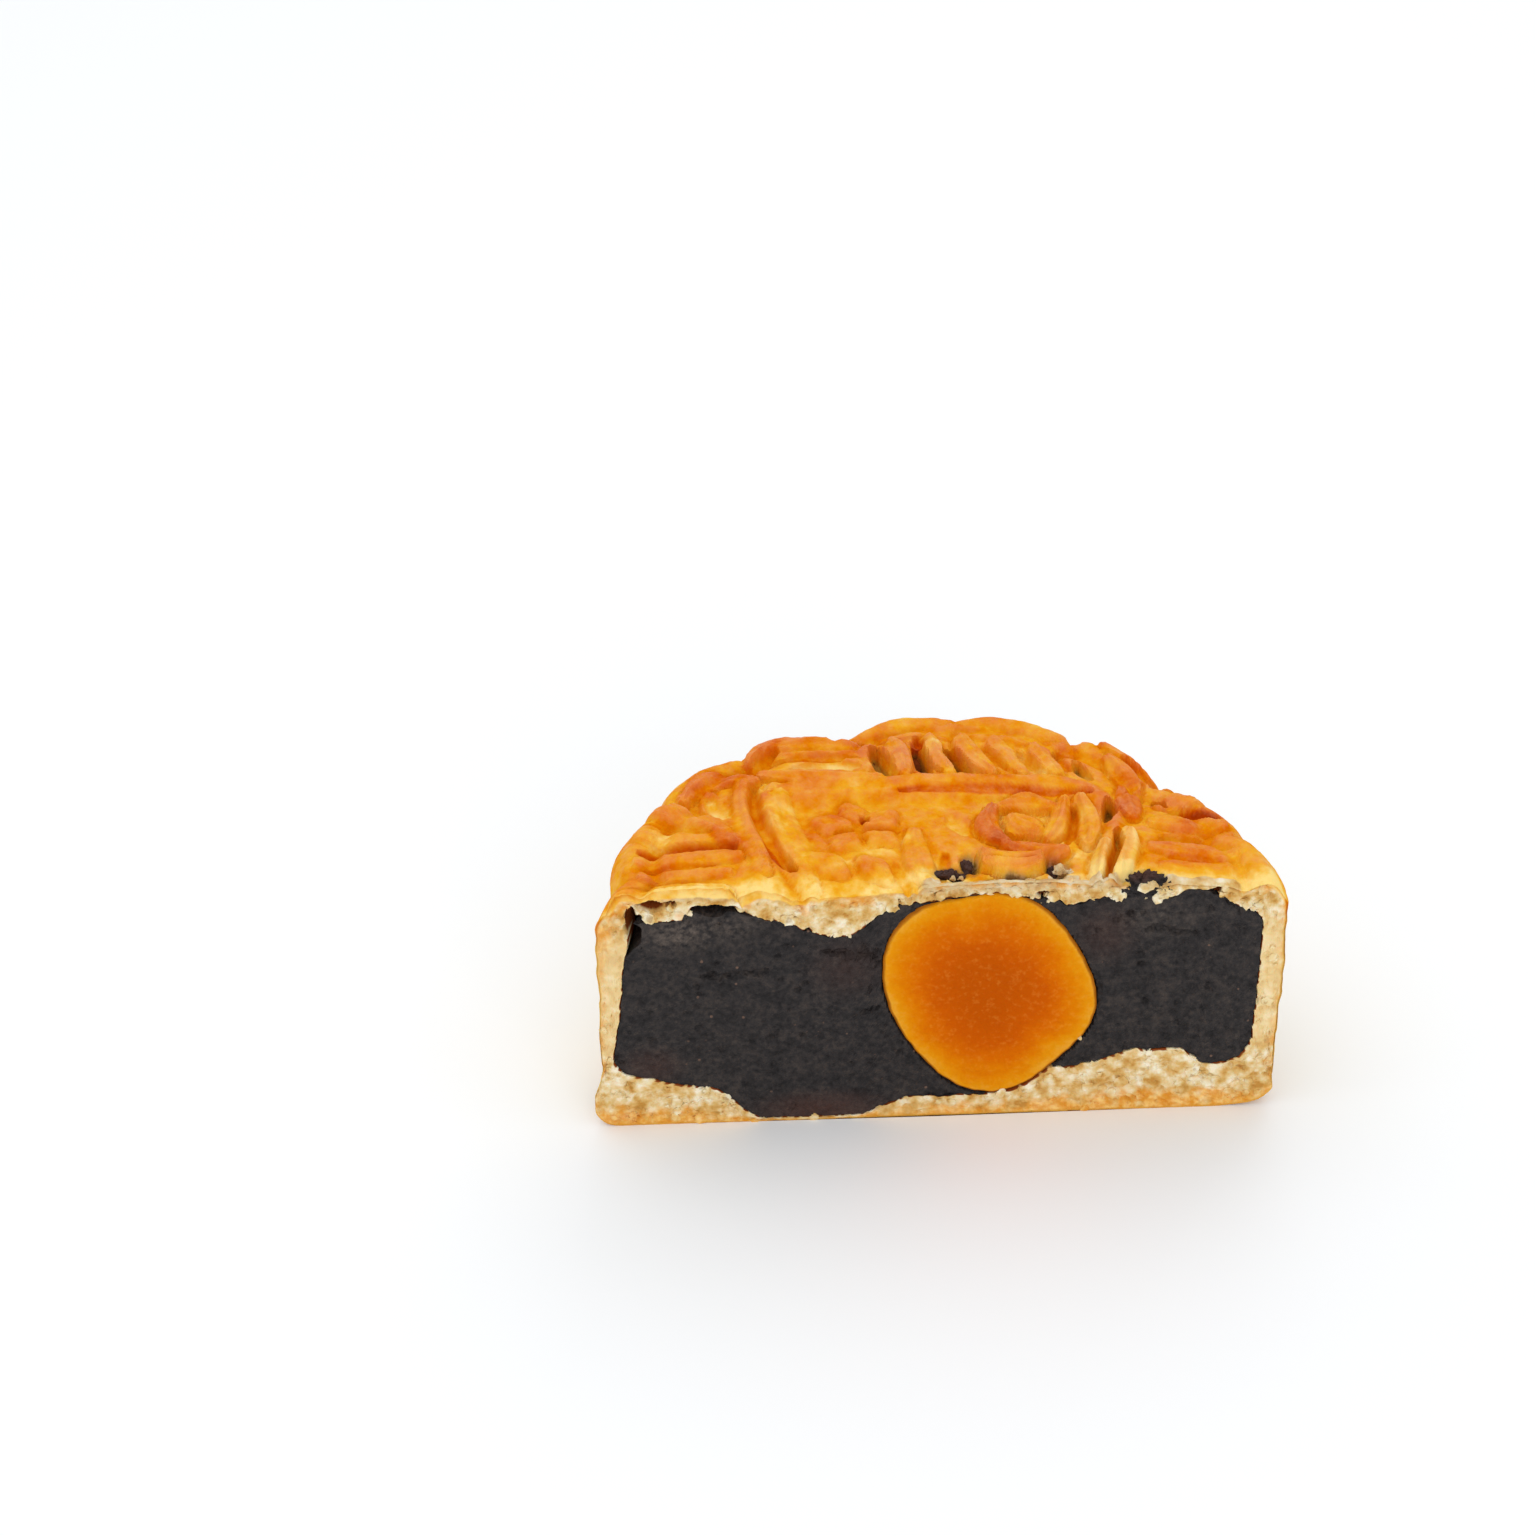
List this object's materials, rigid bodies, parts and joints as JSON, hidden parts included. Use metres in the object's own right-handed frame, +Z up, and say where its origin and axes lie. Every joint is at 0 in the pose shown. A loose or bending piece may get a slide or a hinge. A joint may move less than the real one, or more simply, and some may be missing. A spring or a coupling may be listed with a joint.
{
  "type": "mooncake half",
  "caption": "Baked mooncake cut in half: moulded golden crust with a scalloped rim, dark bean filling and a cut salted egg yolk.",
  "frame": {"origin": "centre of the bounding box in plan, on the surface that the half stands on", "axes": "+Z up; +X along the cut face, towards the end with the yolk; the cut face looks towards -Y"},
  "size_m": [0.0812, 0.0406, 0.0368],
  "materials": {
    "crust": "baked pastry, egg-glazed golden brown on top, pale yellow on the side, dry pale crumb where cut",
    "filling": "dense dark bean paste, near black, finely pitted where cut",
    "yolk": "cured egg yolk, deep orange with a yellower rim, fine-grained and slightly oily"
  },
  "bodies": {
    "root": {"crust": "crust", "filling": "filling", "yolk": "yolk"}
  },
  "joints": []
}
